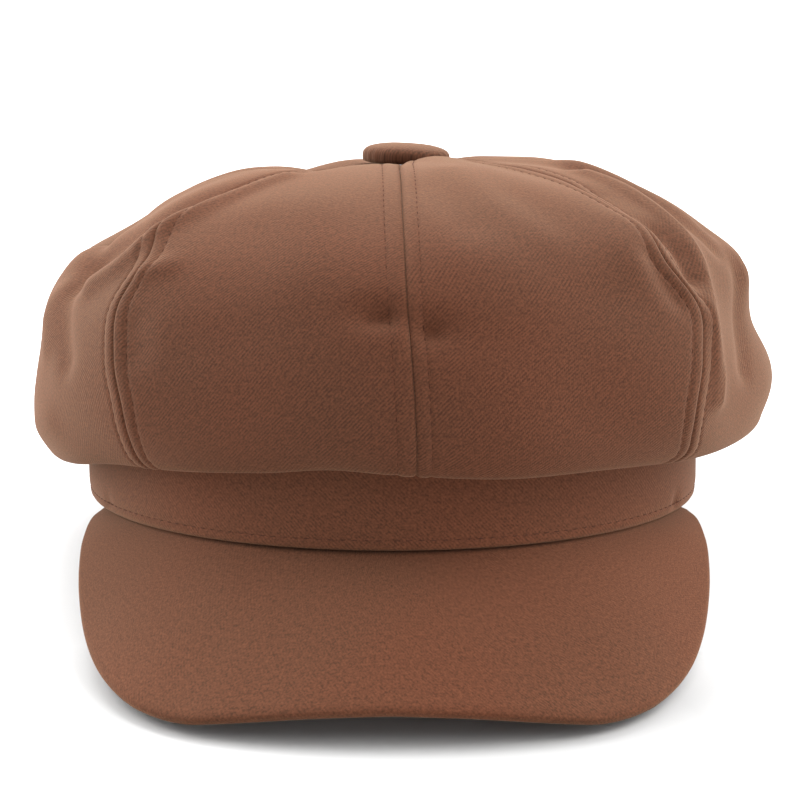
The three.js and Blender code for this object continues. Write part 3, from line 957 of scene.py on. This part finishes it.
# ------------------------------------------------------------------ button
def button_disc(name, outline, puckers=0.0):
    """A disc turned round an axis that leans a little, from its outline: (radius, height).
    The puckers grow towards its edge and stop under the top face."""
    radius, height = np.array(outline).T
    count = 144
    turn = 2 * math.pi * np.arange(count) / count
    gather = smoothstep(radius, 9.5, 12.8)[:, None] * np.sin(BUTTON_PUCKERS * turn) * puckers
    out = radius[:, None] + gather * (height[:, None] < 1.9)
    soft = puckers * 0.7 * np.sin(3 * turn + 0.7) * smoothstep(radius, 2, 9)[:, None]
    x, y = out * np.cos(turn), out * np.sin(turn)
    z = height[:, None] + soft
    tilt = math.radians(BUTTON_TILT)
    points = np.stack([x * math.cos(tilt) + z * math.sin(tilt) + CROWN_SHIFT, y,
                       BUTTON_BASE - x * math.sin(tilt) + z * math.cos(tilt)], -1)
    disc = grid_mesh(name, points, np.stack([x, y], -1), closed_u=True, flip=True)
    weld(disc)
    return disc


def button():
    """The crown's twill gathered over a domed steel shell."""
    cover = button_disc("button_twill", [
        (0, 4.5), (2.5, 4.48), (5, 4.36), (7.5, 4.08), (9.6, 3.66), (11.2, 3.15), (12.2, 2.55),
        (12.8, 1.7), (13.0, 0.7), (12.95, -0.4), (12.6, -1.2), (11.6, -1.5), (10.6, -1.5),
        (10.4, -0.6), (11.4, 0.3), (12.1, 0.7), (11.9, 1.5), (10.8, 2.2), (9.2, 2.85), (7, 3.3),
        (0, 3.75),
    ], 0.08)
    paint(cover, MATERIALS["crown"])
    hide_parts("button_cover")
    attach(cover, "cap")
    shell = button_disc("button_steel_shell", [
        (0, 3.6), (5, 3.4), (8, 2.85), (10, 2.2), (11.2, 1.5), (11.5, 0.7), (11.2, 0.4),
        (10.8, 0.6), (10.7, 1.3), (9.6, 1.9), (7.6, 2.5), (5, 2.95), (0, 3.15),
    ])
    paint(shell, MATERIALS["metal"])
    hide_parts("button_shell")
    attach(shell, "cap")


def hidden_parts():
    """The CAD parts that keep their shape, inside the band and under the button."""
    finishes = {"band_interfacing": "interfacing", "button_rivet": "metal",
                "button_washer": "metal"}
    for node, finish in finishes.items():
        for slot in frame["nodes"][node].material_slots:
            slot.link = "OBJECT"
            slot.material = MATERIALS[finish]


# ------------------------------------------------------------------ camera, light, floor
def camera():
    elevation = math.radians(8.3)
    distance = 780.0
    target = np.array([2.2, 0.0, 26.0])
    eye = target + distance * np.array([0, -math.cos(elevation), math.sin(elevation)])
    data = bpy.data.cameras.new("camera")
    data.sensor_width = 36.0
    data.lens = 116.181
    data.clip_end = 20.0
    viewer = bpy.data.objects.new("camera", data)
    viewer.location = world(eye)
    viewer.rotation_euler = (math.pi / 2 - elevation - LEAN_BACK, 0, 0)
    bpy.context.scene.collection.objects.link(viewer)
    bpy.context.scene.camera = viewer


LIGHT_SPREAD = 40.0          # degrees across each soft light
SKY_STRENGTH = 0.05
FLOOR_HALF_SIZE = 12.0       # metres, as are the two sizes of the wall
WALL_RADIUS = 11.5
WALL_HEIGHT = 2.0

# Wide soft lights: name, elevation, azimuth from the front to the right, strength.
LIGHTS = [
    ("high back", 53, 180, 3.3), ("high front", 60, 0, 0.80), ("right", 52, 92, 3.1),
    ("low right", 15, 100, 1.6), ("low right back", 15, 140, 1.2), ("left", 45, -110, 2.2),
    ("low left", 15, -100, 3.1), ("low left back", 15, -140, 1.4), ("right front", 25, 55, 0.95),
    ("low front", 12, 0, 0.28),
]


def sun(name, elevation, azimuth, strength):
    """A wide soft light. Azimuth 0 shines from the front, 90 from the right."""
    data = bpy.data.lights.new(name, "SUN")
    data.energy = strength
    data.angle = math.radians(LIGHT_SPREAD)
    light = bpy.data.objects.new(name, data)
    light.rotation_euler = (math.pi / 2 - math.radians(elevation), 0, math.radians(azimuth))
    bpy.context.scene.collection.objects.link(light)


def backdrop():
    """A low white wall round the floor, so that level views have no dark sky. It neither
    lights nor shades the cap."""
    count = 96
    turns = [2 * math.pi * k / count for k in range(count)]
    corners = [(WALL_RADIUS * math.cos(turn), WALL_RADIUS * math.sin(turn), z)
               for z in (0.0, WALL_HEIGHT) for turn in turns]
    faces = [(k, (k + 1) % count, count + (k + 1) % count, count + k) for k in range(count)]
    mesh = bpy.data.meshes.new("backdrop")
    mesh.from_pydata(corners, [], faces)
    mesh.materials.append(bright_card("bright card"))
    wall = bpy.data.objects.new("backdrop", mesh)
    wall.visible_diffuse = False
    wall.visible_glossy = False
    wall.visible_shadow = False
    bpy.context.scene.collection.objects.link(wall)


def studio():
    world_light = bpy.data.worlds.new("studio")
    world_light.use_nodes = True
    sky = world_light.node_tree.nodes["Background"]
    sky.inputs[0].default_value = (1, 1, 1, 1)
    sky.inputs[1].default_value = SKY_STRENGTH
    bpy.context.scene.world = world_light
    for name, elevation, azimuth, strength in LIGHTS:
        sun(name, elevation, azimuth, strength)
    size = FLOOR_HALF_SIZE
    mesh = bpy.data.meshes.new("floor")
    corners = [(-size, -size, 0), (size, -size, 0), (size, size, 0), (-size, size, 0)]
    mesh.from_pydata(corners, [], [(0, 1, 2, 3)])
    # The floor's material paints a shadow in front of the visor.
    mesh.materials.append(floor_with_painted_shadow("pale floor"))
    floor = bpy.data.objects.new("floor", mesh)
    bpy.context.scene.collection.objects.link(floor)
    bpy.context.scene.view_settings.view_transform = "Standard"


camera()
studio()
backdrop()
crown()
lining()
head_band()
sweatband()
visor()
button()
hidden_parts()
